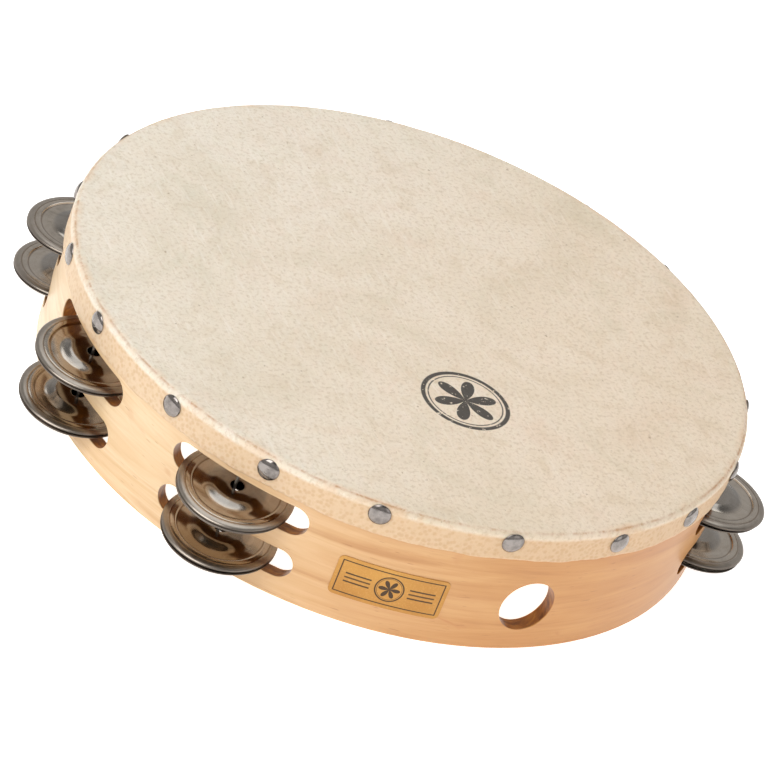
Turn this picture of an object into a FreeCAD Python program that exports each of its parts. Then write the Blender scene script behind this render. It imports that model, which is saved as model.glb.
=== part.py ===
import FreeCAD, Part
import math
import os

import Sketcher

# A 10 inch tambourine, in millimetres.  +Z points up through the drumhead, z = 0 is the
# open bottom edge of the wooden shell, and the Z axis is the axis of the drum.  The thumb
# hole faces -Y.  Angles are azimuths in degrees, counted anticlockwise from +X seen from
# above, and the jingle stations are numbered 1 to 8 the same way, starting right of the
# thumb hole.

DOC = FreeCAD.newDocument("tambourine")
SHEET = DOC.addObject("Spreadsheet::Sheet", "sizes")

DRIVING_SIZES = {
    # wooden shell
    "shell_radius": 127.0,
    "shell_wall": 5.5,
    "shell_height": 50.8,
    "fold_rounding": 1.6,
    "edge_rounding": 0.6,
    # jingle slots: round-ended, two rows at each station
    "slot_length": 54.0,
    "slot_depth": 11.2,
    "lower_row_height": 13.4,
    "upper_row_height": 31.7,
    "grip_angle": 100.5,
    # thumb hole, in the middle of the grip
    "thumb_radius": 10.4,
    "thumb_height": 19.1,
    # drumhead skin, folded down over the shell
    "skin_thickness": 0.8,
    "skin_gap": 0.03,
    "skin_edge_height": 39.6,
    # tacks round the skin
    "tack_height": 46.5,
    "tack_head_radius": 4.0,
    "tack_head_edge": 0.25,
    "tack_head_rise": 1.6,
    "tack_shank_radius": 0.6,
    "tack_shank_length": 4.6,
    "tack_clearance": 0.03,
    # jingle pins, each a steel nail up through both rows
    "pin_radius": 0.6,
    "pin_clearance": 0.03,
    "pin_recess": 0.3,
    "pin_length": 45.0,
    # jingles: the folded rim's foot is z = 0 of each, and pair_height is where two meet
    "jingle_radius": 20.5,
    "jingle_hole": 2.5,
    "jingle_sheet": 0.5,
    "jingle_hem": 0.9,
    "jingle_rim_height": 1.1,
    "jingle_shoulder": 0.7,
    "jingle_flange": 16.2,
    "jingle_trough": 15.3,
    "jingle_trough_depth": 0.4,
    "jingle_slope_foot": 12.2,
    "jingle_plateau": 7.2,
    "jingle_plateau_rise": 1.0,
    "pair_gap": 0.2,
    "pair_height": 4.2,
    # paper label
    "label_width": 39.4,
    "label_tall": 16.2,
    "label_corner": 2.0,
    "label_thickness": 0.2,
    "label_gap": 0.03,
    "label_height": 18.7,
    "label_angle": -113.0,
}

STATIONS = 8
THUMB_ANGLE = -90.0

# The tacks are set by hand, so they are spaced unevenly: azimuth, and height off the line.
TACKS = (
    (-176.2, -0.1), (-155.3, -0.5), (-136.8, -0.2), (-118.8, 0.9), (-97.4, 0.8), (-77.5, -0.9),
    (-59.9, -1.1), (-42.4, -0.2), (-23.5, 0.3), (-4.6, -0.4), (14.4, 0.4), (33.3, 0.1),
    (52.2, -0.6), (71.1, 0.5), (90.0, 0.0), (108.9, -0.4), (127.8, 0.6), (146.7, -0.2),
    (165.7, -0.3),
)

# The pins are driven by eye: how far each one stands outwards and anticlockwise of the middle
# of its slots.
PIN_OFFSETS = (
    (0.0, 0.2), (0.0, -0.3), (0.2, 0.4), (0.0, 0.1), (-0.2, -0.2), (-0.8, 0.3), (0.0, 0.2),
    (0.0, -2.2),
)

# How each pair of jingles hangs at rest: outward droop and anticlockwise lean in degrees, the
# extra droop of the top jingle, how far the bottom and the top jingle have shifted outwards and
# anticlockwise off the pin, and how far the pair has opened beyond its usual gap.
PAIR_POSES = {
    (1, "lower"): (4.4, 0.8, -0.3, (-1.2, 0.0), (-0.8, 0.0), 1.3),
    (1, "upper"): (2.4, 0.6, 0.3, (-0.7, -0.2), (0.0, -0.1), 0.8),
    (2, "lower"): (3.2, -0.4, 0.3, (-0.4, 0.6), (0.6, 0.4), 0.3),
    (2, "upper"): (2.4, 0.5, -0.3, (0.3, 0.6), (-0.5, 0.2), 0.0),
    (3, "lower"): (2.8, 0.2, 0.3, (0.5, -0.5), (-0.2, -0.4), 0.6),
    (3, "upper"): (3.8, -0.5, 0.2, (-0.3, 0.5), (0.4, 0.2), 0.2),
    (4, "lower"): (3.6, 0.4, -0.3, (0.6, 0.2), (0.1, -0.5), 0.0),
    (4, "upper"): (2.6, -0.3, 0.3, (0.2, -0.6), (-0.4, 0.5), 0.5),
    (5, "lower"): (2.2, -0.5, 0.3, (-0.5, 0.4), (0.5, -0.3), 0.2),
    (5, "upper"): (3.0, 0.4, 0.3, (0.4, 0.3), (-0.3, -0.6), 0.4),
    (6, "lower"): (5.6, 0.2, -0.3, (-1.4, 0.0), (-1.4, -0.3), 0.0),
    (6, "upper"): (4.0, 0.5, -0.3, (-1.2, 0.1), (-1.2, -0.2), 0.0),
    (7, "lower"): (3.6, 3.4, 0.3, (0.4, 0.3), (-0.1, -0.4), 0.0),
    (7, "upper"): (2.6, 3.6, 0.3, (-0.3, 0.4), (-0.6, -0.2), 0.0),
    (8, "lower"): (6.4, 0.2, -0.3, (0.5, 0.8), (-0.3, 0.6), 0.0),
    (8, "upper"): (7.4, 0.1, 0.4, (0.6, 0.8), (-0.2, 0.8), 0.0),
}


def fill_sheet():
    """One row per driving size: its name, and its plain number under that alias."""
    for row, (name, value) in enumerate(DRIVING_SIZES.items(), start=1):
        SHEET.set("A%d" % row, name)
        SHEET.set("B%d" % row, str(value))
        SHEET.setAlias("B%d" % row, name)
    DOC.recompute()


def size(name):
    return float(SHEET.get(name))


def total(terms):
    """The sum of the named sizes; a name with a leading minus is taken away."""
    return sum(-size(term[1:]) if term.startswith("-") else size(term) for term in terms)


def formula(terms):
    """The same sum as an expression bound to the sheet."""
    signed = ["- sizes." + term[1:] if term.startswith("-") else "+ sizes." + term for term in terms]
    return " ".join(signed).lstrip("+ ")


def origin_feature(body, role):
    return next(item for item in body.Origin.OriginFeatures if item.Role == role)


def new_body(name):
    body = DOC.addObject("PartDesign::Body", name)
    body.Label = name
    return body


def new_sketch(body, name, role):
    sketch = body.newObject("Sketcher::SketchObject", name)
    sketch.AttachmentSupport = [(origin_feature(body, role), "")]
    sketch.MapMode = "FlatFace"
    return sketch


def place_vertex(sketch, edge, end, horizontal, vertical):
    """Tie one end of an edge to the sketch origin by distances from the sheet."""
    for axis, kind, terms in ((-2, "DistanceX", horizontal), (-1, "DistanceY", vertical)):
        if not terms:
            sketch.addConstraint(Sketcher.Constraint("PointOnObject", edge, end, axis))
            continue
        index = sketch.addConstraint(Sketcher.Constraint(kind, -1, 1, edge, end, total(terms)))
        sketch.setExpression("Constraints[%d]" % index, formula(terms))


def closed_profile(sketch, vertices):
    """A closed outline of straight lines through vertices, each a pair of term lists."""
    points = [FreeCAD.Vector(total(x), total(y), 0) for x, y in vertices]
    count = len(points)
    for i in range(count):
        sketch.addGeometry(Part.LineSegment(points[i], points[(i + 1) % count]), False)
    for i in range(count):
        sketch.addConstraint(Sketcher.Constraint("Coincident", i, 2, (i + 1) % count, 1))
    for i, (x, y) in enumerate(vertices):
        place_vertex(sketch, i, 1, x, y)


def revolve(body, sketch, name):
    feature = body.newObject("PartDesign::Revolution", name)
    feature.Profile = sketch
    feature.ReferenceAxis = (sketch, ["V_Axis"])
    feature.Angle = 360.0
    DOC.recompute()
    return feature


def circle_edges(shape, radius, height):
    """Names of the horizontal circular edges of that radius at that height."""
    names = []
    for number, edge in enumerate(shape.Edges, start=1):
        curve = edge.Curve
        if not isinstance(curve, Part.Circle):
            continue
        if abs(curve.Radius - radius) < 0.01 and abs(curve.Center.z - height) < 0.01:
            names.append("Edge%d" % number)
    return names


def round_circles(body, base, name, radius_terms, circles):
    """Fillet the circular edges, each given as (radius, height)."""
    names = [edge for radius, height in circles for edge in circle_edges(base.Shape, radius, height)]
    fillet = body.newObject("PartDesign::Fillet", name)
    fillet.Base = (base, names)
    fillet.setExpression("Radius", formula(radius_terms))
    DOC.recompute()
    return fillet


def slot_outline(sketch, row_terms):
    """A lying round-ended slot, centred on the vertical axis at the row's height."""
    half_run = (size("slot_length") - size("slot_depth")) / 2
    radius = size("slot_depth") / 2
    middle = total(row_terms)
    up = FreeCAD.Vector(0, 0, 1)
    left_centre, right_centre = FreeCAD.Vector(-half_run, middle), FreeCAD.Vector(half_run, middle)
    rise = FreeCAD.Vector(0, radius)
    left_end = Part.ArcOfCircle(Part.Circle(left_centre, up, radius), math.pi / 2, 3 * math.pi / 2)
    right_end = Part.ArcOfCircle(Part.Circle(right_centre, up, radius), -math.pi / 2, math.pi / 2)
    left = sketch.addGeometry(left_end)
    right = sketch.addGeometry(right_end)
    top = sketch.addGeometry(Part.LineSegment(left_centre + rise, right_centre + rise))
    bottom = sketch.addGeometry(Part.LineSegment(left_centre - rise, right_centre - rise))
    joins = ((top, 1, left, 1), (bottom, 1, left, 2), (top, 2, right, 2), (bottom, 2, right, 1))
    for line, line_end, arc, arc_end in joins:
        sketch.addConstraint(Sketcher.Constraint("Tangent", line, line_end, arc, arc_end))
    sketch.addConstraint(Sketcher.Constraint("Equal", left, right))
    sketch.addConstraint(Sketcher.Constraint("Symmetric", left, 3, right, 3, -2))
    index = sketch.addConstraint(Sketcher.Constraint("Radius", left, radius))
    sketch.setExpression("Constraints[%d]" % index, "sizes.slot_depth / 2")
    index = sketch.addConstraint(Sketcher.Constraint("DistanceX", left, 3, right, 3, 2 * half_run))
    sketch.setExpression("Constraints[%d]" % index, "sizes.slot_length - sizes.slot_depth")
    index = sketch.addConstraint(Sketcher.Constraint("DistanceY", -1, 1, left, 3, middle))
    sketch.setExpression("Constraints[%d]" % index, formula(row_terms))


def removed(before, feature, what, expected):
    """The volume after a cut.  Stop if it didn't take away about what it should."""
    DOC.recompute()
    after = feature.Shape.Volume
    if not 0.9 * expected < before - after < 1.1 * expected:
        raise RuntimeError("the %s took %.1f mm3, not %.1f" % (what, before - after, expected))
    return after


def drill(body, name, radius_formula, length_terms, offset):
    """A round hole in a body: a cylinder taken away, placed from the body's own origin."""
    hole = body.newObject("PartDesign::SubtractiveCylinder", name)
    hole.AttachmentSupport = [(origin_feature(body, "XY_Plane"), "")]
    hole.MapMode = "FlatFace"
    hole.AttachmentOffset = offset
    hole.setExpression("Radius", radius_formula)
    hole.setExpression("Height", formula(length_terms))
    return hole


def turned_to(angle):
    return FreeCAD.Rotation(FreeCAD.Vector(0, 0, 1), angle)


def radial(angle, distance, height):
    """A placement whose own +Z points outwards from the drum's axis at that azimuth."""
    outwards = turned_to(angle).multVec(FreeCAD.Vector(1, 0, 0))
    lying = FreeCAD.Rotation(FreeCAD.Vector(0, 1, 0), 90)
    position = outwards * distance + FreeCAD.Vector(0, 0, height)
    return FreeCAD.Placement(position, turned_to(angle).multiply(lying))


def shell_blank(body):
    inner = ("shell_radius", "-shell_wall")
    sketch = new_sketch(body, "shell_profile", "XZ_Plane")
    outline = ((inner, ()), (("shell_radius",), ()), (("shell_radius",), ("shell_height",)),
               (inner, ("shell_height",)))
    closed_profile(sketch, outline)
    ring = revolve(body, sketch, "shell_ring")
    outer_r, inner_r, top = total(("shell_radius",)), total(inner), size("shell_height")
    fold = round_circles(body, ring, "fold_edge", ("fold_rounding",), [(outer_r, top)])
    soft = [(inner_r, top), (inner_r, 0.0), (outer_r, 0.0)]
    return round_circles(body, fold, "soft_edges", ("edge_rounding",), soft)


def station_pitch():
    return (360.0 - size("grip_angle")) / (STATIONS - 1)


def station_angle(number):
    return THUMB_ANGLE + size("grip_angle") / 2 + (number - 1) * station_pitch()


def mid_wall():
    return size("shell_radius") - size("shell_wall") / 2


def cut_stations(body, blank):
    """Both slots of station 1, then the same anticlockwise at every station.

    Station 1 lies on the body's own -Y side; the body's placement turns it into place.
    """
    whole = blank.Shape.Volume
    slot_area = (size("slot_length") - size("slot_depth")) * size("slot_depth")
    slot_area += math.pi * size("slot_depth") ** 2 / 4
    volume = whole
    pockets = []
    for row in ("lower", "upper"):
        sketch = new_sketch(body, row + "_slot_outline", "XZ_Plane")
        slot_outline(sketch, (row + "_row_height",))
        pocket = body.newObject("PartDesign::Pocket", row + "_slot")
        pocket.Profile = sketch
        pocket.Type = "ThroughAll"
        pocket.Reversed = True
        volume = removed(volume, pocket, row + " slot", slot_area * size("shell_wall"))
        pockets.append(pocket)
    pattern = body.newObject("PartDesign::PolarPattern", "stations")
    pattern.Originals = pockets
    pattern.Axis = (origin_feature(body, "Z_Axis"), [""])
    pattern.Occurrences = STATIONS
    pattern.setExpression("Angle", "360 - sizes.grip_angle")
    body.Tip = pattern
    removed(volume, pattern, "row of stations", (whole - volume) * (STATIONS - 1))
    return pattern


def make_shell():
    body = new_body("shell_body")
    pattern = cut_stations(body, shell_blank(body))
    turn = station_angle(1) + 90.0
    inside = size("shell_radius") - 2 * size("shell_wall")
    offset = radial(THUMB_ANGLE - turn, inside, size("thumb_height"))
    thumb = drill(body, "thumb_hole", "sizes.thumb_radius", ("shell_wall",) * 4, offset)
    hole_volume = math.pi * size("thumb_radius") ** 2 * size("shell_wall")
    removed(pattern.Shape.Volume, thumb, "thumb hole", hole_volume)
    body.Tip = thumb
    body.Placement = FreeCAD.Placement(FreeCAD.Vector(), turned_to(turn))
    DOC.recompute()
    shank_in_wood = size("tack_shank_length") - size("skin_thickness")
    pin_in_wood = size("pin_length") + 2 * size("pin_recess") - 2 * size("slot_depth")
    drilled = len(TACKS) * bore_area("tack_shank_radius", "tack_clearance") * shank_in_wood
    drilled += STATIONS * bore_area("pin_radius", "pin_clearance") * pin_in_wood
    return bored(body, "shell", ("tack_bores", "pin_bores"), drilled)


def bore(name, radius_formula, height_formula, placement):
    cylinder = DOC.addObject("Part::Cylinder", name)
    cylinder.setExpression("Radius", radius_formula)
    cylinder.setExpression("Height", height_formula)
    cylinder.Placement = placement
    return cylinder


def make_bores():
    """The holes that the tack shanks and the pins fill, as two groups of cutting tools."""
    start = size("shell_radius") + size("skin_gap") + size("skin_thickness") - size("tack_shank_length")
    tacks = [bore("tack_bore_%02d" % number, "sizes.tack_shank_radius + sizes.tack_clearance",
                  "sizes.tack_shank_length + sizes.skin_thickness",
                  radial(angle, start, size("tack_height") + wander))
             for number, (angle, wander) in enumerate(TACKS, start=1)]
    pins = [bore("pin_bore_%d" % number, "sizes.pin_radius + sizes.pin_clearance",
                 "sizes.pin_length + 2 * sizes.pin_recess", pin_placement(number, 0.0))
            for number in range(1, STATIONS + 1)]
    for name, bores in (("tack_bores", tacks), ("pin_bores", pins)):
        group = DOC.addObject("Part::Compound", name)
        group.Links = bores
    DOC.recompute()


def bore_area(radius, clearance):
    return math.pi * (size(radius) + size(clearance)) ** 2


def bored(base, name, groups, expected):
    """The body with groups of bores cut from it, which together take the expected volume."""
    before = base.Shape.Volume
    for group in groups:
        last = group == groups[-1]
        cut = DOC.addObject("Part::Cut", name if last else name + "_before_" + groups[-1])
        cut.Label = cut.Name
        cut.Base, cut.Tool = base, DOC.getObject(group)
        base = cut
    removed(before, base, "bores of the " + name, expected)
    return base


def make_drumhead():
    """The skin: a flat head, folded over the shell's edge and down its side."""
    body = new_body("drumhead_body")
    bottom = ("shell_height", "skin_gap")
    top = bottom + ("skin_thickness",)
    inside = ("shell_radius", "skin_gap")
    outside = inside + ("skin_thickness",)
    edge = ("skin_edge_height",)
    sketch = new_sketch(body, "skin_profile", "XZ_Plane")
    outline = (((), bottom), (inside, bottom), (inside, edge), (outside, edge), (outside, top), ((), top))
    closed_profile(sketch, outline)
    skin = revolve(body, sketch, "skin_cup")
    inner_fold = round_circles(body, skin, "inner_fold", ("fold_rounding", "skin_gap"),
                               [(total(inside), total(bottom))])
    round_circles(body, inner_fold, "outer_fold", ("fold_rounding", "skin_gap", "skin_thickness"),
                  [(total(outside), total(top))])
    drilled = len(TACKS) * bore_area("tack_shank_radius", "tack_clearance") * size("skin_thickness")
    return bored(body, "drumhead", ("tack_bores",), drilled)


def tack_shape():
    """One tack: a domed head with its shank along -Z, its seat at z = 0."""
    head, rim, rise = size("tack_head_radius"), size("tack_head_edge"), size("tack_head_rise")
    shank, length = size("tack_shank_radius"), size("tack_shank_length")
    tip = 1.2
    crown_radius = (head**2 + (rise - rim) ** 2) / (2 * (rise - rim))
    half_way = math.asin(head / crown_radius) / 2
    middle = FreeCAD.Vector(crown_radius * math.sin(half_way), 0,
                            rise - crown_radius * (1 - math.cos(half_way)))
    crown = Part.Arc(FreeCAD.Vector(head, 0, rim), middle, FreeCAD.Vector(0, 0, rise)).toShape()
    corners = [(0, rise), (0, -length), (shank / 5, -length), (shank, -length + tip), (shank, 0), (head, 0),
               (head, rim)]
    vectors = [FreeCAD.Vector(x, 0, z) for x, z in corners]
    edges = [Part.makeLine(a, b) for a, b in zip(vectors, vectors[1:])]
    face = Part.Face(Part.Wire(edges + [crown]))
    return face.revolve(FreeCAD.Vector(), FreeCAD.Vector(0, 0, 1), 360)


def make_tacks():
    """All the tacks, seated on the outside of the skin, as one group of separate solids."""
    seat = size("shell_radius") + size("skin_gap") + size("skin_thickness") + size("tack_clearance")
    solids = []
    for angle, wander in TACKS:
        solid = tack_shape()
        solid.Placement = radial(angle, seat, size("tack_height") + wander)
        solids.append(solid)
    tacks = DOC.addObject("Part::Feature", "tacks")
    tacks.Label = "tacks"
    tacks.Shape = Part.makeCompound(solids)
    return tacks


def make_label():
    """A thin rounded label, curved round the outside of the shell."""
    inner = DOC.addObject("Part::Cylinder", "label_inside")
    inner.setExpression("Radius", "sizes.shell_radius + sizes.label_gap")
    outer = DOC.addObject("Part::Cylinder", "label_outside")
    outer.setExpression("Radius", "sizes.shell_radius + sizes.label_gap + sizes.label_thickness")
    for cylinder in (inner, outer):
        cylinder.setExpression("Height", "sizes.shell_height")
    tube = DOC.addObject("Part::Cut", "label_tube")
    tube.Base, tube.Tool = outer, inner
    block = DOC.addObject("Part::Box", "label_block")
    block.setExpression("Length", "sizes.shell_radius + 10")
    block.setExpression("Width", "sizes.label_width")
    block.setExpression("Height", "sizes.label_tall")
    corner = FreeCAD.Vector(0, -size("label_width") / 2, size("label_height") - size("label_tall") / 2)
    block.Placement = FreeCAD.Placement(corner, FreeCAD.Rotation())
    DOC.recompute()
    rounded = DOC.addObject("Part::Fillet", "label_corners")
    rounded.Base = block
    along_x = [number for number, edge in enumerate(block.Shape.Edges, start=1)
               if edge.BoundBox.XLength > size("shell_radius")]
    rounded.Edges = [(number, size("label_corner"), size("label_corner")) for number in along_x]
    label = DOC.addObject("Part::Common", "label")
    label.Label = "label"
    label.Base, label.Tool = tube, rounded
    label.Placement = FreeCAD.Placement(FreeCAD.Vector(), turned_to(size("label_angle")))
    return label


def pin_placement(number, height):
    """A point on a pin's axis at that height, near the middle of the wall and of its slots."""
    outwards, anticlockwise = PIN_OFFSETS[number - 1]
    spot = FreeCAD.Vector(mid_wall() + outwards, anticlockwise, height)
    turn = turned_to(station_angle(number))
    return FreeCAD.Placement(turn.multVec(spot), turn)


def make_pin(number):
    name = "pin_%d" % number
    pin = DOC.addObject("Part::Cylinder", name)
    pin.Label = name
    pin.setExpression("Radius", "sizes.pin_radius")
    pin.setExpression("Height", "sizes.pin_length")
    pin.Placement = pin_placement(number, size("pin_recess"))
    return pin


def jingle_placement(number, row, which):
    """Where a jingle hangs: part way up its pin, drooping with its pair.

    The two face each other rim to rim, and pair_height is from the slot's floor to where they meet.
    """
    droop, lean, extra, bottom_shift, top_shift, opened = PAIR_POSES[(number, row)]
    floor = size(row + "_row_height") - size("slot_depth") / 2
    x_axis, y_axis = FreeCAD.Vector(1, 0, 0), FreeCAD.Vector(0, 1, 0)
    tilt = FreeCAD.Rotation(y_axis, droop).multiply(FreeCAD.Rotation(x_axis, -lean))
    if which == "top":
        shift = FreeCAD.Vector(top_shift[0], top_shift[1], size("pair_gap") / 2)
        facing = FreeCAD.Rotation(y_axis, extra)
    else:
        shift = FreeCAD.Vector(bottom_shift[0], bottom_shift[1], -opened - size("pair_gap") / 2)
        facing = FreeCAD.Rotation(x_axis, 180)
    pin = pin_placement(number, floor + size("pair_height"))
    own = FreeCAD.Placement(tilt.multVec(shift), tilt.multiply(facing))
    return pin.multiply(own)


def make_jingle(number, row, which):
    """A stamped disc: a folded rim, a flat flange, a step down and a raised middle round the hole."""
    name = "jingle_%d_%s_row_%s" % (number, row, which)
    body = new_body(name)
    sketch = new_sketch(body, name + "_profile", "XZ_Plane")
    inside_hem = ("jingle_radius", "-jingle_hem")
    flange = ("jingle_rim_height",)
    trough = flange + ("-jingle_trough_depth",)
    plateau = trough + ("jingle_plateau_rise",)
    below = ("-jingle_sheet",)
    outline = (
        (("jingle_radius",), ()),
        (inside_hem, ()),
        (inside_hem, flange + below),
        (("jingle_flange",), flange + below),
        (("jingle_trough",), trough + below),
        (("jingle_slope_foot",), trough + below),
        (("jingle_plateau",), plateau + below),
        (("jingle_hole",), plateau + below),
        (("jingle_hole",), plateau),
        (("jingle_plateau",), plateau),
        (("jingle_slope_foot",), trough),
        (("jingle_trough",), trough),
        (("jingle_flange",), flange),
        (("jingle_radius",), flange),
    )
    closed_profile(sketch, outline)
    disc = revolve(body, sketch, name + "_disc")
    outer_rim = [(size("jingle_radius"), size("jingle_rim_height"))]
    round_circles(body, disc, name + "_shoulder", ("jingle_shoulder",), outer_rim)
    body.Placement = jingle_placement(number, row, which)
    return body


def check_and_export(parts):
    DOC.recompute()
    for item in DOC.Objects:
        if "Invalid" in item.State or "Error" in item.State:
            raise RuntimeError("%s failed: %s" % (item.Name, item.State))
    os.makedirs("parts", exist_ok=True)
    for part in parts:
        shape = part.Shape
        if shape.isNull() or not shape.isValid() or not shape.Solids:
            raise RuntimeError("%s has no valid solid" % part.Label)
    for part in parts:
        part.Shape.exportStep("parts/%s.step" % part.Label)
        print("%-36s %2d solid(s) %10.1f mm3" % (part.Label, len(part.Shape.Solids), part.Shape.Volume))


def main():
    fill_sheet()
    make_bores()
    parts = [make_shell(), make_drumhead(), make_tacks(), make_label()]
    for number in range(1, STATIONS + 1):
        parts.append(make_pin(number))
        for row in ("lower", "upper"):
            for which in ("bottom", "top"):
                parts.append(make_jingle(number, row, which))
    check_and_export(parts)


main()
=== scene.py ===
import math

import bpy
import numpy as np
from mathutils import Matrix, Vector, noise


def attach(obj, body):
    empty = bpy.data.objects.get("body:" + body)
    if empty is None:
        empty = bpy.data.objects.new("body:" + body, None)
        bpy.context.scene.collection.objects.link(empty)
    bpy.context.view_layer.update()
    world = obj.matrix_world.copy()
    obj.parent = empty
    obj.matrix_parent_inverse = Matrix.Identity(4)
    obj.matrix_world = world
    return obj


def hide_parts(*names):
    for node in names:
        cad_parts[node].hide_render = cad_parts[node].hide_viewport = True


# A 10 inch headed tambourine.  +Z is up through the head, the thumb hole faces -Y, and
# z = 0 is the open bottom edge of the wooden shell.  Azimuths run from +X towards +Y.

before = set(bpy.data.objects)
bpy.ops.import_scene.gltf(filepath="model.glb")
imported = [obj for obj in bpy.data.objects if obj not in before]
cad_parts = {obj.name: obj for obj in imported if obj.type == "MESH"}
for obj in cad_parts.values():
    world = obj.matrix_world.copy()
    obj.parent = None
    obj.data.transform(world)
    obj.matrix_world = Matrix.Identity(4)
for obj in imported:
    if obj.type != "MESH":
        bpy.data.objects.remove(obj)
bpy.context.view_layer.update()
MM = 0.001

# Sizes in millimetres.
SHELL_R = 127.0
SKIN_R = 127.83
SKIN_TOP = 51.63
SKIN_EDGE = 39.6
SKIN_THICKNESS = 0.8
FOLD_R = 2.43
LABEL_Z = 18.7
LABEL_BORDER = (18.2, 6.6)
LABEL_FLOWER_R = 5.2
HEAD_FLOWER = (-4.2, -54.8)
HEAD_FLOWER_R = 16.5
JINGLE_SHEET = 0.5
JINGLE_CROWN = 1.7
TACK_Z = 46.5
TACK_SINK = 0.12

# The label's azimuth in degrees.
LABEL_ANGLE = -113.0

# The radii, in millimetres, of the rings of points across the flat of the head.
HEAD_RINGS = (4, 12, 24, 38, 52, 66, 80, 92, 102, 109, 114, 118, 121, 123, 124.5)

# How many rings of points run down the folded side of the skin.
SIDE_RINGS = 16

# How far each jingle is turned on its pin from the one before it in name order, in degrees.
JINGLE_TURN = 67.0

# Each tack: its azimuth in degrees and its height above TACK_Z in millimetres.
TACKS = (
    (-176.2, -0.1), (-155.3, -0.5), (-136.8, -0.2), (-118.8, 0.9), (-97.4, 0.8), (-77.5, -0.9),
    (-59.9, -1.1), (-42.4, -0.2), (-23.5, 0.3), (-4.6, -0.4), (14.4, 0.4), (33.3, 0.1),
    (52.2, -0.6), (71.1, 0.5), (90.0, 0.0), (108.9, -0.4), (127.8, 0.6), (146.7, -0.2),
    (165.7, -0.3),
)

# The side of the drum painted darkest and tan as painted shade, away from the key light, as a
# direction in the XY plane.
SHADED_SIDE_DIRECTION = (0.8156, -0.5786)

# The camera: degrees round from -Y, up and rolled; metres from the drum; metres that it
# stands to the right and up, as it sees them; and the lens and sensor in millimetres.
CAMERA_AZIMUTH = -35.35
CAMERA_ELEVATION = 32.18
CAMERA_ROLL = 21.88
CAMERA_DISTANCE = 1.46367
CAMERA_RIGHT = 0.005554
CAMERA_UP = 0.01165
CAMERA_LENS = 186.29
CAMERA_SENSOR = 36.0

# Each light: its name, degrees round from -Y and up, metres away and wide, watts and colour.
LIGHTS = (
    ("key", -75.0, 48.0, 1.6, 1.1, 13.0, (1.0, 1.0, 1.0)),
    ("top", 150.0, 70.0, 1.7, 1.4, 10.5, (0.93, 0.97, 1.0)),
    ("fill", 20.0, 25.0, 2.0, 1.2, 3.0, (1.0, 1.0, 1.0)),
)

# The height in metres that the lights are aimed at.
LIGHT_AIM = 0.03


# ---------------------------------------------------------------- node helpers

def srgb(red, green, blue):
    """A colour given as 0-255 display values, as linear RGBA."""
    def linear(value):
        value /= 255.0
        return value / 12.92 if value <= 0.04045 else ((value + 0.055) / 1.055) ** 2.4
    return (linear(red), linear(green), linear(blue), 1.0)


class Tree:
    """Short calls for building one material's or world's node tree."""

    def __init__(self, owner):
        owner.use_nodes = True
        self.tree = owner.node_tree
        self.tree.nodes.clear()

    def add(self, kind, inputs=None, **settings):
        made = self.tree.nodes.new(kind)
        for name, value in settings.items():
            setattr(made, name, value)
        for name, value in (inputs or {}).items():
            if isinstance(value, bpy.types.NodeSocket):
                self.tree.links.new(value, made.inputs[name])
            else:
                made.inputs[name].default_value = value
        return made

    def math(self, operation, *values):
        return self.add("ShaderNodeMath", dict(enumerate(values)), operation=operation).outputs[0]

    def plus(self, first, second):
        return self.math("ADD", first, second)

    def minus(self, first, second):
        return self.math("SUBTRACT", first, second)

    def times(self, first, second):
        return self.math("MULTIPLY", first, second)

    def larger(self, first, second):
        return self.math("MAXIMUM", first, second)

    def length(self, x, y):
        """The length of the vector (x, y)."""
        return self.math("SQRT", self.plus(self.times(x, x), self.times(y, y)))

    def scaled(self, vector, x, y, z):
        parts = self.add("ShaderNodeSeparateXYZ", {0: vector}).outputs
        return self.add("ShaderNodeCombineXYZ", {
            0: self.times(parts[0], x), 1: self.times(parts[1], y),
            2: self.times(parts[2], z)}).outputs[0]

    def noise(self, vector, scale, detail=2.0, roughness=0.5, distortion=0.0):
        return self.add("ShaderNodeTexNoise", {
            "Vector": vector, "Scale": scale, "Detail": detail, "Roughness": roughness,
            "Distortion": distortion}).outputs["Fac"]

    def ramp(self, factor, *stops):
        """A colour ramp; each stop is (position, colour or grey)."""
        made = self.add("ShaderNodeValToRGB", {0: factor})
        elements = made.color_ramp.elements
        while len(elements) < len(stops):
            elements.new(0.5)
        for element, (position, colour) in zip(elements, stops):
            element.position = position
            element.color = colour if isinstance(colour, tuple) else (colour, colour, colour, 1.0)
        return made.outputs[0]

    def step(self, value, low, high):
        """0 below low, 1 above high, smooth between; low above high turns it round."""
        return self.add("ShaderNodeMapRange", {
            "Value": value, "From Min": low, "From Max": high, "To Min": 0.0, "To Max": 1.0},
            interpolation_type="SMOOTHSTEP").outputs[0]

    def between(self, value, low, high, soft):
        """1 from low to high and 0 outside, softened by soft at both ends."""
        rise = self.step(value, low - soft, low + soft)
        return self.times(rise, self.step(value, high + soft, high - soft))

    def mix(self, factor, first, second, blend="MIX"):
        """A blend of two colours; 6, 7 and 2 are the mix node's colour sockets."""
        return self.add("ShaderNodeMix", {0: factor, 6: first, 7: second}, data_type="RGBA",
                        blend_type=blend).outputs[2]

    def paint(self, base, mask, amount, colour, blend="MIX"):
        """Lays a 0-255 colour over base where mask is 1, as strongly as amount."""
        return self.mix(self.times(mask, amount), base, srgb(*colour), blend)

    def bump(self, height, strength, distance, normal=None):
        inputs = {"Height": height, "Strength": strength, "Distance": distance}
        if normal is not None:
            inputs["Normal"] = normal
        return self.add("ShaderNodeBump", inputs).outputs[0]

    def surface(self, **inputs):
        """The finished surface; an underscore in an input's name stands for a space."""
        sockets = {name.replace("_", " "): value for name, value in inputs.items()}
        shader = self.add("ShaderNodeBsdfPrincipled", sockets)
        self.add("ShaderNodeOutputMaterial", {0: shader.outputs[0]})
        return shader


def material(name):
    made = bpy.data.materials.new(name)
    return made, Tree(made)


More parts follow.
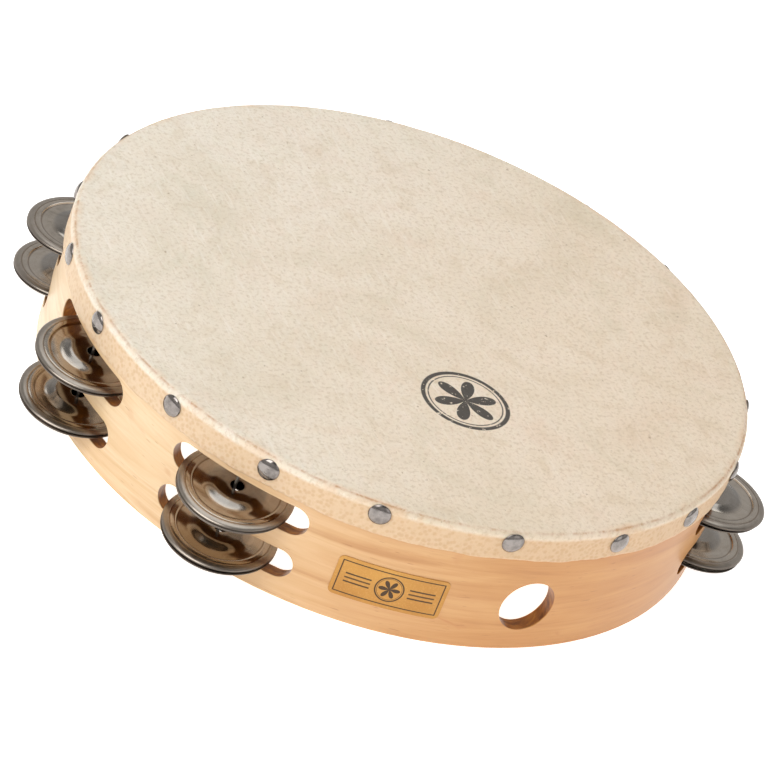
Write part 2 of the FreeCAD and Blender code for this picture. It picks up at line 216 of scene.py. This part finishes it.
def object_space(tree):
    """The object coordinates, and their x, y and z."""
    coords = tree.add("ShaderNodeTexCoord").outputs["Object"]
    x, y, z = tree.add("ShaderNodeSeparateXYZ", {0: coords}).outputs
    return coords, x, y, z


# ---------------------------------------------------------------- materials
# Lengths in the materials are in metres, where they aren't named sizes times MM.

def painted_side_shade(tree, x, y):
    """0 on the lit side of the drum, 1 on the side painted darker and tan as painted shade."""
    across = tree.plus(tree.times(x, SHADED_SIDE_DIRECTION[0]), tree.times(y, SHADED_SIDE_DIRECTION[1]))
    return tree.step(across, -0.11, 0.12)


def wood_material():
    made, tree = material("lacquered_maple")
    coords, x, y, z = object_space(tree)
    radius = tree.length(x, y)

    def along_grain(slow, fast):
        """Coordinates that change slowly round the shell and fast up and through it."""
        fast_part = tree.times(tree.plus(z, radius), fast)
        return tree.add("ShaderNodeCombineXYZ", {
            0: tree.times(x, slow), 1: tree.times(y, slow), 2: fast_part}).outputs[0]

    streaks = tree.noise(along_grain(10.0, 105.0), 1.0, 4.0, 0.55, 1.1)
    lines = tree.noise(along_grain(26.0, 1100.0), 1.0, 3.0, 0.6)
    clouds = tree.noise(along_grain(16.0, 26.0), 1.0, 3.0, 0.55, 0.6)
    flecks = tree.noise(along_grain(150.0, 1300.0), 1.0, 1.0)
    spots = tree.noise(along_grain(38.0, 90.0), 1.0, 2.0, 0.5, 1.2)

    base = tree.ramp(streaks, (0.22, srgb(194, 150, 100)), (0.42, srgb(218, 184, 138)),
                     (0.6, srgb(228, 200, 160)), (0.8, srgb(206, 166, 118)))
    base = tree.paint(base, tree.step(lines, 0.42, 0.72), 0.2, (196, 146, 94))
    base = tree.paint(base, tree.step(clouds, 0.5, 0.75), 0.4, (223, 183, 136))
    base = tree.paint(base, tree.step(clouds, 0.48, 0.25), 0.35, (234, 208, 174))
    base = tree.paint(base, tree.step(spots, 0.66, 0.78), 0.4, (196, 132, 84))
    base = tree.paint(base, tree.step(flecks, 0.69, 0.77), 0.4, (164, 110, 66))
    # painted shade: the side away from the key light is darkened and turned tan
    base = tree.paint(base, painted_side_shade(tree, x, y), 0.95, (226, 178, 102), "MULTIPLY")

    # the walls of the slots and the thumb hole lie between the shell's two faces, and are painted a
    # darker, deeper brown
    cut_wall = tree.times(tree.between(radius, 0.1217, 0.12665, 0.00018),
                          tree.between(z, 0.004, 0.046, 0.0004))
    cut_wall_brown = tree.ramp(tree.noise(along_grain(220.0, 500.0), 1.0, 4.0, 0.65),
                         (0.3, srgb(92, 46, 6)), (0.52, srgb(142, 82, 16)),
                         (0.75, srgb(180, 116, 34)))
    base = tree.mix(cut_wall, base, cut_wall_brown)
    inner_face = tree.step(radius, 0.1219, 0.1215)
    base = tree.paint(base, inner_face, 0.35, (226, 180, 132))

    normal = tree.bump(lines, 0.35, 0.00012)
    normal = tree.bump(flecks, 0.2, 0.00015, normal)
    normal = tree.bump(tree.noise(coords, 60.0, 2.0), 0.25, 0.0006, normal)
    roughness = tree.ramp(streaks, (0.2, 0.46), (0.8, 0.36))
    tree.surface(Base_Color=base, Roughness=roughness, Normal=normal,
                 Coat_Weight=0.25, Coat_Roughness=0.22)
    return made


def rosette(tree, u, v, reach):
    """A plain compass-drawn flower of six petals inside two rings, as a 0-1 ink mask.

    u and v are measured from its middle, and reach is the outer ring's radius.
    """
    distance = tree.length(u, v)
    angle = tree.math("ARCTAN2", v, u)
    wave = tree.math("ABSOLUTE", tree.math("COSINE", tree.times(angle, 3.0)))
    petal_end = tree.times(tree.math("POWER", wave, 0.8), reach * 0.74)
    soft = reach * 0.012
    petals = tree.step(tree.minus(petal_end, distance), -soft, soft)
    ring = tree.between(distance, reach * 0.9, reach, soft)
    inner_ring = tree.between(distance, reach * 0.82, reach * 0.85, soft)
    return tree.larger(petals, tree.larger(ring, inner_ring))


def skin_material():
    made, tree = material("goat_skin")
    coords, x, y, z = object_space(tree)
    radius = tree.length(x, y)
    clouds = tree.noise(coords, 14.0, 4.0, 0.6, 0.8)
    tint = tree.noise(tree.scaled(coords, 1.0, 1.0, 1.6), 22.0, 4.0, 0.62, 1.2)
    mottle = tree.noise(coords, 85.0, 5.0, 0.7, 0.5)
    grain = tree.noise(coords, 620.0, 4.0, 0.72)
    pores = tree.add("ShaderNodeTexVoronoi", {
        "Vector": coords, "Scale": 620.0, "Randomness": 1.0}).outputs["Distance"]
    fibres = tree.noise(tree.scaled(coords, 900.0, 90.0, 400.0), 1.0, 3.0, 0.6, 0.8)
    specks = tree.noise(coords, 420.0, 2.0, 0.5)

    base = tree.ramp(clouds, (0.28, srgb(224, 212, 190)), (0.45, srgb(234, 222, 203)),
                     (0.6, srgb(238, 227, 210)), (0.8, srgb(232, 215, 196)))
    base = tree.paint(base, tree.step(tint, 0.52, 0.72), 0.3, (230, 208, 186))
    base = tree.paint(base, tree.step(tint, 0.46, 0.28), 0.45, (218, 209, 186))
    base = tree.paint(base, tree.step(mottle, 0.50, 0.70), 0.4, (216, 198, 170))
    base = tree.paint(base, tree.step(grain, 0.47, 0.66), 0.5, (200, 180, 152))
    base = tree.paint(base, tree.step(fibres, 0.54, 0.70), 0.35, (248, 240, 228))
    base = tree.paint(base, tree.step(specks, 0.735, 0.78), 0.5, (150, 118, 80))

    # a thin ragged crease where the skin turns over the shell's edge, with a soft tan beside it
    blotch = tree.noise(coords, 46.0, 4.0, 0.7, 0.6)
    fold = tree.times(tree.step(radius, 0.1235, 0.1266), tree.step(z, 0.0480, 0.0500))
    stain = tree.times(fold, tree.step(blotch, 0.42, 0.66))
    base = tree.paint(base, stain, 0.4, (222, 178, 130))
    crease = tree.times(tree.between(radius, 0.1264, 0.1270, 0.0004), tree.step(z, 0.0488, 0.0500))
    ragged = tree.step(tree.noise(coords, 240.0, 4.0, 0.75, 0.8), 0.34, 0.66)
    crease = tree.times(crease, tree.times(ragged, tree.step(blotch, 0.25, 0.50)))
    base = tree.paint(base, crease, 0.85, (186, 134, 88))
    # the folded side, with its pores and its darker cut edge
    band = tree.step(z, 0.0498, 0.0482)
    base = tree.paint(base, band, 0.75, (213, 180, 140))
    dots = tree.times(band, tree.step(pores, 0.62, 0.22))
    base = tree.paint(base, dots, 0.4, (196, 156, 112))
    cut_edge = tree.step(z, 0.0402, 0.0388)
    base = tree.paint(base, cut_edge, 0.6, (196, 148, 98))
    # painted shade: the skin on the side away from the key light is darkened a little
    base = tree.paint(base, painted_side_shade(tree, x, y), 0.3, (244, 214, 176), "MULTIPLY")

    # the printed flower, on the top of the head alone
    on_top = tree.times(tree.step(z, 0.0512, 0.0515), tree.step(radius, 0.118, 0.1175))
    ink = rosette(tree, tree.minus(x, HEAD_FLOWER[0] * MM), tree.minus(y, HEAD_FLOWER[1] * MM),
                  HEAD_FLOWER_R * MM)
    worn = tree.step(tree.noise(coords, 520.0, 3.0, 0.7), 0.30, 0.40)
    ink = tree.times(tree.times(ink, on_top), worn)
    base = tree.paint(base, ink, 0.93, (38, 34, 32))

    normal = tree.bump(grain, 0.35, 0.00022)
    normal = tree.bump(fibres, 0.15, 0.00012, normal)
    normal = tree.bump(mottle, 0.22, 0.0005, normal)
    normal = tree.bump(dots, 0.25, -0.0002, normal)
    roughness = tree.ramp(mottle, (0.3, 0.62), (0.7, 0.5))
    shader = tree.surface(Base_Color=base, Roughness=roughness, Normal=normal, Specular_IOR_Level=0.4)
    shader.inputs["Subsurface Weight"].default_value = 0.12
    shader.inputs["Subsurface Radius"].default_value = (0.0012, 0.0007, 0.0004)
    shader.inputs["Subsurface Scale"].default_value = 1.0
    return made


def jingle_material():
    """Nickel plate gone brown with age, spun in fine rings, tarnished in its grooves, with a painted
    cool reflection on its raised middle and painted dark reflections on its rim and foot.
    """
    made, tree = material("spun_nickel")
    coords, x, y, z = object_space(tree)
    radius = tree.length(x, y)
    # each jingle reads its own part of the noise, so no two are marked alike
    varied = tree.add("ShaderNodeObjectInfo").outputs["Random"]
    shift = tree.add("ShaderNodeCombineXYZ", {0: varied, 1: varied, 2: varied}).outputs[0]
    shifted = tree.add("ShaderNodeVectorMath", {0: coords, 1: shift}, operation="ADD").outputs[0]
    clouds = tree.noise(shifted, 95.0, 4.0, 0.65, 0.8)
    smudge = tree.noise(shifted, 420.0, 3.0, 0.6)
    outwards = tree.add("ShaderNodeCombineXYZ", {0: radius, 1: varied, 2: 0.0}).outputs[0]
    rings = tree.noise(outwards, 2600.0, 2.0, 0.7)
    base = tree.ramp(clouds, (0.25, srgb(152, 142, 130)), (0.5, srgb(180, 170, 158)),
                     (0.8, srgb(164, 152, 138)))
    base = tree.paint(base, tree.step(smudge, 0.6, 0.8), 0.4, (120, 102, 82))
    base = tree.paint(base, tree.step(rings, 0.5, 0.72), 0.2, (124, 108, 88))
    # painted reflection: the raised middle is tinted bluish and darker so the highlight on it reads
    # cool grey
    painted_cool_middle = tree.step(radius, 0.0118, 0.0098)
    base = tree.paint(base, painted_cool_middle, 0.42, (138, 148, 164), "MULTIPLY")
    groove = tree.larger(tree.between(radius, 0.0176, 0.0180, 0.00015),
                       tree.between(radius, 0.0151, 0.0156, 0.00025))
    base = tree.paint(base, groove, 0.6, (96, 70, 44))
    # painted shade and dark reflection: the rim's foot, where the two jingles of a pair meet, painted
    # near black-brown
    foot = tree.times(tree.step(radius, 0.0200, 0.0204), tree.step(z, 0.00062, 0.0003))
    base = tree.paint(base, foot, 0.85, (70, 58, 48))
    by_hole = tree.step(radius, 0.0034, 0.0026)
    base = tree.paint(base, by_hole, 0.5, (96, 82, 68))
    # painted dark reflection: the rim is painted greyer and darker so it reflects less brightly; it is
    # also made rougher
    rim = tree.step(radius, 0.0178, 0.0184)
    base = tree.paint(base, rim, 0.35, (128, 118, 110))
    roughness = tree.plus(tree.times(clouds, 0.12), 0.09)
    roughness = tree.plus(roughness, tree.times(rim, 0.16))
    normal = tree.bump(rings, 0.12, 0.00004)
    normal = tree.bump(tree.noise(shifted, 160.0, 2.0), 0.3, 0.00018, normal)
    tree.surface(Base_Color=base, Metallic=1.0, Roughness=roughness, Normal=normal)
    return made


def tack_material():
    made, tree = material("nickel_tack")
    coords = tree.add("ShaderNodeTexCoord").outputs["Object"]
    clouds = tree.noise(coords, 260.0, 3.0, 0.6)
    base = tree.ramp(clouds, (0.3, srgb(108, 102, 98)), (0.6, srgb(146, 139, 134)))
    roughness = tree.ramp(clouds, (0.3, 0.2), (0.7, 0.12))
    tree.surface(Base_Color=base, Metallic=1.0, Roughness=roughness,
                 Normal=tree.bump(clouds, 0.05, 0.00005))
    return made


def pin_material():
    made, tree = material("steel_pin")
    coords = tree.add("ShaderNodeTexCoord").outputs["Object"]
    scratch = tree.noise(tree.scaled(coords, 2600.0, 2600.0, 300.0), 1.0, 3.0, 0.6)
    base = tree.ramp(scratch, (0.3, srgb(120, 110, 100)), (0.7, srgb(186, 180, 172)))
    tree.surface(Base_Color=base, Metallic=1.0, Roughness=tree.ramp(scratch, (0.3, 0.42), (0.7, 0.26)),
                 Normal=tree.bump(scratch, 0.2, 0.00005))
    return made


def label_material():
    """Gold foil paper with a border, three rules on each side and a small flower."""
    made, tree = material("gold_label")
    coords, x, y, z = object_space(tree)
    # u runs round the shell and v up it, both from the label's middle
    turn = math.radians(LABEL_ANGLE)
    shell_radius = SHELL_R * MM
    sideways = tree.minus(tree.times(y, math.cos(turn)), tree.times(x, math.sin(turn)))
    u = tree.times(tree.math("ARCSINE", tree.math("DIVIDE", sideways, shell_radius)), shell_radius)
    v = tree.minus(z, LABEL_Z * MM)
    foil = tree.noise(coords, 1500.0, 3.0, 0.7)
    clouds = tree.noise(coords, 60.0, 2.0)
    base = tree.ramp(clouds, (0.3, srgb(178, 124, 54)), (0.7, srgb(194, 142, 66)))
    base = tree.paint(base, tree.step(foil, 0.5, 0.7), 0.3, (220, 172, 96))
    across, up = tree.math("ABSOLUTE", u), tree.math("ABSOLUTE", v)
    edge = tree.larger(tree.minus(across, LABEL_BORDER[0] * MM), tree.minus(up, LABEL_BORDER[1] * MM))
    border = tree.between(edge, -0.0003, 0.00015, 0.00006)
    rule_length = tree.between(across, 0.0068, 0.0160, 0.0001)
    outer_rules = tree.between(up, 0.0014, 0.0020, 0.00008)
    middle_rule = tree.between(up, 0.0, 0.0003, 0.00008)
    rules = tree.times(rule_length, tree.larger(outer_rules, middle_rule))
    flower = rosette(tree, u, v, LABEL_FLOWER_R * MM)
    ink = tree.larger(tree.larger(border, rules), flower)
    base = tree.paint(base, ink, 0.92, (40, 26, 16))
    tree.surface(Base_Color=base, Metallic=0.35, Roughness=tree.ramp(foil, (0.3, 0.42), (0.7, 0.3)),
                 Normal=tree.bump(foil, 0.1, 0.00006))
    return made


# ---------------------------------------------------------------- mesh helpers

def mesh_object(name, verts, faces, finish):
    """A smooth-shaded object with one material, linked to the scene."""
    mesh = bpy.data.meshes.new(name)
    mesh.from_pydata([tuple(v) for v in verts], [], faces)
    mesh.polygons.foreach_set("use_smooth", [True] * len(mesh.polygons))
    mesh.materials.append(finish)
    mesh.update()
    made = bpy.data.objects.new(name, mesh)
    bpy.context.scene.collection.objects.link(made)
    return made


def grid_faces(rows, columns, closed_rows):
    """Quads of a grid whose columns go right round, and whose rows do too if closed_rows."""
    faces = []
    for i in range(rows if closed_rows else rows - 1):
        below, above = i * columns, ((i + 1) % rows) * columns
        for j in range(columns):
            k = (j + 1) % columns
            faces.append((below + j, below + k, above + k, above + j))
    return faces


def fan(middle, first, columns, inwards=False):
    """Triangles from the point middle to the ring of points that begins at first."""
    faces = []
    for j in range(columns):
        here, there = first + j, first + (j + 1) % columns
        faces.append((middle, there, here) if inwards else (middle, here, there))
    return faces


def circle(r, z, columns, start=0.0):
    """Points in metres round the Z axis; r and z are in mm and start is in radians."""
    angles = [start + 2 * math.pi * j / columns for j in range(columns)]
    return [(r * math.cos(angle) * MM, r * math.sin(angle) * MM, z * MM) for angle in angles]


def arc(centre, radius, start, end, steps):
    """Points (r, z) on an arc; the angles are in degrees."""
    angles = np.radians(np.linspace(start, end, steps + 1))
    return [(centre[0] + radius * math.cos(a), centre[1] + radius * math.sin(a)) for a in angles]


# ---------------------------------------------------------------- jingles

def smooth(value, low, high):
    """0 below low, 1 above high, smooth between."""
    t = min(1.0, max(0.0, (value - low) / (high - low)))
    return t * t * (3.0 - 2.0 * t)


def dish_height(radius):
    """Height in mm of a jingle's upper side: raised middle, slope, trough and flat flange."""
    return JINGLE_CROWN - smooth(radius, 7.2, 12.2) + 0.4 * smooth(radius, 15.3, 16.2)


def jingle_outline():
    """The section of a jingle, in mm, from the hole out over the top and back underneath.

    z = 0 is the foot of the rim, where two jingles of a pair meet.
    """
    underneath = JINGLE_CROWN - JINGLE_SHEET
    dish = np.linspace(7.0, 15.9, 36)
    top = [(2.75, JINGLE_CROWN), (5.0, JINGLE_CROWN)] + [(r, dish_height(r)) for r in dish]
    lip = [(16.1, 1.08), (16.35, 1.1), (17.2, 1.1), (17.6, 1.08), (17.8, 1.04), (18.0, 1.08)]
    turns = np.radians(np.linspace(80, 0, 14))
    shoulder = [(18.1 + 2.4 * math.cos(turn), 0.2 + 0.9 * math.sin(turn)) for turn in turns]
    rim = shoulder + arc((20.35, 0.15), 0.15, 0, -90, 4)
    hem = arc((19.75, 0.15), 0.15, -90, -180, 4) + [(19.6, 0.5), (19.45, 0.6), (16.3, 0.6)]
    under = [(r, dish_height(r) - JINGLE_SHEET) for r in dish[::-1]]
    under += [(5.0, underneath), (2.75, underneath)]
    hole = [(2.55, 1.24), (2.5, 1.32), (2.5, 1.58), (2.55, 1.66)]
    return top + lip + rim + hem + under + hole


def jingle_mesh(finish):
    """The one mesh that all the jingles share."""
    outline = jingle_outline()
    columns = 144
    verts = [point for r, z in outline for point in circle(r, z, columns)]
    faces = [face[::-1] for face in grid_faces(len(outline), columns, True)]
    made = mesh_object("jingle_form", verts, faces, finish)
    mesh = made.data
    bpy.data.objects.remove(made)
    return mesh


def disc_frame(name):
    """Where a CAD jingle lies: its raised side's direction, and the middle of its rim's foot.

    The top jingle of a pair has its raised side up, and the bottom one has it down.
    """
    points = np.array([v.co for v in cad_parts[name].data.vertices], float)
    middle = points.mean(0)
    spread = np.linalg.svd(points - middle, full_matrices=False)[2]
    upwards = spread[2] * np.sign(spread[2][2])
    axis = upwards if name.endswith("_top") else -upwards
    first = np.cross((0.0, 1.0, 0.0), axis)
    first /= np.linalg.norm(first)
    second = np.cross(axis, first)
    u, v, w = points @ first, points @ second, points @ axis
    centre = first * (u.max() + u.min()) / 2 + second * (v.max() + v.min()) / 2 + axis * w.min()
    place = Matrix((first, second, axis)).transposed().to_4x4()
    place.translation = Vector(centre)
    return place


def make_jingles(finish):
    mesh = jingle_mesh(finish)
    names = sorted(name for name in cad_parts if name.startswith("jingle_"))
    for number, name in enumerate(names):
        piece = bpy.data.objects.new(name + "_disc", mesh)
        bpy.context.scene.collection.objects.link(piece)
        turned = Matrix.Rotation(math.radians(JINGLE_TURN * number), 4, "Z")
        piece.matrix_world = disc_frame(name) @ turned
        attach(piece, name)
        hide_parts(name)


# ---------------------------------------------------------------- drumhead

def around(angle, scale, seed):
    """Smooth noise round the drum, about -1 to 1, the same at 0 and 360 degrees."""
    spot = Vector((math.cos(angle) * scale, math.sin(angle) * scale, seed))
    return noise.noise(spot) * 1.8


def nearest_tack(angle, height):
    """Distance in mm along the side from the nearest tack, and how far between two it is, 0-1."""
    half_spacing = 20.0
    nearest, along = math.inf, math.inf
    for degrees, wander in TACKS:
        off = (angle - math.radians(degrees) + math.pi) % (2 * math.pi) - math.pi
        sideways = off * SKIN_R
        nearest = min(nearest, math.hypot(sideways, height - TACK_Z - wander))
        along = min(along, abs(sideways))
    return nearest, min(1.0, along / half_spacing)


def skin_edge_height(angle):
    """The height in mm of the skin's cut edge, which wanders a little."""
    slow = 0.55 * around(angle, 5.0, 3.1)
    quick = 0.28 * around(angle, 17.0, 8.4)
    return SKIN_EDGE + slow + quick + 0.1 * around(angle, 60.0, 1.7)


def skin_swell(angle, height, edge):
    """How far the folded skin stands off its even thickness, in mm."""
    distance, between = nearest_tack(angle, height)
    down = min(1.0, max(0.0, (49.0 - height) / (49.0 - edge)))
    dimple = -0.3 * math.exp(-((distance / 5.2) ** 2))
    lift = 0.34 * (between ** 1.5) * down ** 2 * (0.7 + 0.5 * around(angle, 9.0, 5.5))
    ripple = 0.07 * around(angle, 40.0, height * 0.25) * (0.3 + 0.7 * down)
    return dimple + max(0.0, lift) + ripple


def skin_section(angle):
    """The skin's section at one azimuth, as (r, z) in mm.

    It runs out over the head, round the fold, down the side to the cut edge, and back up
    between the skin and the shell.
    """
    edge = skin_edge_height(angle)
    head = [(r, SKIN_TOP + 0.05 * around(angle, r / 40.0, 2.0) - 0.05) for r in HEAD_RINGS]
    fold = [(r + 0.04 * around(angle, 30.0, z), z + 0.03 * around(angle, 24.0, r))
            for r, z in arc((SKIN_R - FOLD_R, SKIN_TOP - FOLD_R), FOLD_R, 90, 0, 9)]
    heights = np.linspace(SKIN_TOP - FOLD_R, edge + 0.25, SIDE_RINGS + 1)[1:]
    side = [(SKIN_R + skin_swell(angle, z, edge), z) for z in heights]
    last_r = side[-1][0]
    lip = [(last_r - 0.16, edge + 0.04), (last_r - 0.5, edge), (last_r - 0.68, edge + 0.12)]
    back = [(r - SKIN_THICKNESS + 0.05, z) for r, z in side[::-1]]
    return head + fold + side + lip + back


def make_drumhead(finish):
    columns = 1080
    angles = [2 * math.pi * j / columns - math.pi for j in range(columns)]
    verts = []
    for ring in zip(*(skin_section(angle) for angle in angles)):
        verts += [(r * math.cos(angle) * MM, r * math.sin(angle) * MM, z * MM)
                  for angle, (r, z) in zip(angles, ring)]
    underside = SKIN_TOP - SKIN_THICKNESS
    for r, z in ((SHELL_R + 0.06, SKIN_TOP - FOLD_R), (SHELL_R - 0.45, underside - 0.45),
                 (SHELL_R - 1.6, underside), (110.0, underside), (60.0, underside), (4.0, underside)):
        verts += circle(r, z, columns, -math.pi)
    last = len(verts) - columns
    faces = [face[::-1] for face in grid_faces(len(verts) // columns, columns, False)]
    faces += fan(len(verts), 0, columns) + fan(len(verts) + 1, last, columns, inwards=True)
    verts += [(0.0, 0.0, (SKIN_TOP - 0.05) * MM), (0.0, 0.0, underside * MM)]
    piece = mesh_object("drumhead_skin", verts, faces, finish)
    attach(piece, "drum")
    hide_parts("drumhead")


# ---------------------------------------------------------------- tacks

def tack_outline():
    """Half section of a tack, in mm, from the top of its dome to its point; z = 0 is its seat."""
    dome = []
    for r in np.linspace(0.0, 3.75, 24):
        z = 1.6 * math.sqrt(max(0.0, 1.0 - (r / 4.02) ** 2)) ** 1.15
        z -= 0.07 * math.exp(-(((r - 1.15) / 0.16) ** 2))
        dome.append((r, z))
    rim = [(3.9, 0.34), (3.99, 0.2), (4.0, 0.08), (3.9, -0.02), (3.7, -0.04)]
    shank = [(0.62, 0.0), (0.6, -0.3), (0.6, -3.2), (0.1, -4.3), (0.0, -4.4)]
    return dome + rim + shank


def tack_place(number, degrees, wander):
    """Where a tack sits: facing outwards, knocked in a degree or two off square."""
    round_drum = Matrix.Rotation(math.radians(degrees), 4, "Z")
    tilt = Matrix.Rotation(math.radians(2.5 * math.sin(number * 2.4)), 4, "X")
    tilt = tilt @ Matrix.Rotation(math.radians(2.5 * math.cos(number * 1.7)), 4, "Y")
    place = round_drum @ Matrix.Rotation(math.radians(90.0), 4, "Y") @ tilt
    seat = Vector(((SKIN_R - TACK_SINK) * MM, 0.0, (TACK_Z + wander) * MM))
    place.translation = round_drum.to_3x3() @ seat
    return place


def make_tacks(finish):
    (_, crown_z), *sides, (_, point_z) = tack_outline()
    columns = 48
    verts, faces = [], []
    for number, (degrees, wander) in enumerate(TACKS):
        place = tack_place(number, degrees, wander)
        first = len(verts)
        points = [point for r, z in sides for point in circle(r, z, columns)]
        last = first + len(points) - columns
        side_faces = grid_faces(len(sides), columns, False)
        faces += [tuple(first + i for i in face[::-1]) for face in side_faces]
        crown = first + len(points)
        faces += fan(crown, first, columns) + fan(crown + 1, last, columns, inwards=True)
        points += [(0.0, 0.0, crown_z * MM), (0.0, 0.0, point_z * MM)]
        verts += [place @ Vector(point) for point in points]
    piece = mesh_object("tack_heads", verts, faces, finish)
    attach(piece, "drum")
    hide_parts("tacks")


# ---------------------------------------------------------------- CAD nodes kept

def repaint(name, finish):
    """Gives a CAD node its material, and leaves its shape and place alone."""
    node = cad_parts[name]
    node.data.materials.clear()
    node.data.materials.append(finish)


# ---------------------------------------------------------------- stage, light, camera

def make_floor():
    made, tree = material("pale_floor")
    coords = tree.add("ShaderNodeTexCoord").outputs["Object"]
    tone = tree.ramp(tree.noise(coords, 3.0, 2.0), (0.3, 0.86), (0.7, 0.88))
    tree.surface(Base_Color=tone, Roughness=0.9,
                 Emission_Color=(1.0, 1.0, 1.0, 1.0), Emission_Strength=0.8)
    half = 4.0
    corners = [(-half, -half, 0), (half, -half, 0), (half, half, 0), (-half, half, 0)]
    floor = mesh_object("floor", corners, [(0, 1, 2, 3)], made)


def make_world():
    """A soft studio: pale at the sides, dimmer overhead."""
    world = bpy.data.worlds.new("studio")
    bpy.context.scene.world = world
    tree = Tree(world)
    direction = tree.add("ShaderNodeTexCoord").outputs["Generated"]
    height = tree.add("ShaderNodeSeparateXYZ", {0: direction}).outputs[2]
    tone = tree.ramp(height, (0.0, 0.58), (0.25, 0.72), (0.5, 0.78), (0.8, 0.25), (1.0, 0.12))
    background = tree.add("ShaderNodeBackground", {0: tone, 1: 0.8})
    tree.add("ShaderNodeOutputWorld", {0: background.outputs[0]})


def direction(azimuth, elevation):
    """The unit vector from the drum, for degrees round from -Y towards +X and degrees up."""
    around_z, up = math.radians(azimuth), math.radians(elevation)
    level = math.cos(up)
    return Vector((math.sin(around_z) * level, -math.cos(around_z) * level, math.sin(up)))


def area_light(name, azimuth, elevation, distance, width, power, colour):
    """A soft square light that faces the drum."""
    light = bpy.data.lights.new(name, "AREA")
    light.shape = "SQUARE"
    light.size = width
    light.energy = power
    light.color = colour
    made = bpy.data.objects.new(name, light)
    bpy.context.scene.collection.objects.link(made)
    back = direction(azimuth, elevation)
    made.location = back * distance + Vector((0.0, 0.0, LIGHT_AIM))
    made.rotation_mode = "QUATERNION"
    made.rotation_quaternion = (-back).to_track_quat("-Z", "Y")


def make_camera():
    """The viewpoint: above the drum, to the left of the thumb hole, and rolled."""
    back = direction(CAMERA_AZIMUTH, CAMERA_ELEVATION)
    azimuth, roll = math.radians(CAMERA_AZIMUTH), math.radians(CAMERA_ROLL)
    level = Vector((math.cos(azimuth), math.sin(azimuth), 0.0))
    upright = level.cross(-back)
    right = level * math.cos(roll) + upright * math.sin(roll)
    up = upright * math.cos(roll) - level * math.sin(roll)
    camera = bpy.data.objects.new("camera", bpy.data.cameras.new("camera"))
    bpy.context.scene.collection.objects.link(camera)
    camera.data.sensor_width = CAMERA_SENSOR
    camera.data.lens = CAMERA_LENS
    place = Matrix((right, up, back)).transposed().to_4x4()
    place.translation = back * CAMERA_DISTANCE + right * CAMERA_RIGHT + up * CAMERA_UP
    camera.matrix_world = place
    bpy.context.scene.camera = camera


def main():
    repaint("shell", wood_material())
    steel = pin_material()
    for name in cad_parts:
        if name.startswith("pin_"):
            repaint(name, steel)
    repaint("label", label_material())
    make_jingles(jingle_material())
    make_drumhead(skin_material())
    make_tacks(tack_material())
    make_floor()
    make_world()
    for light in LIGHTS:
        area_light(*light)
    make_camera()
    bpy.context.scene.view_settings.view_transform = "Standard"


main()
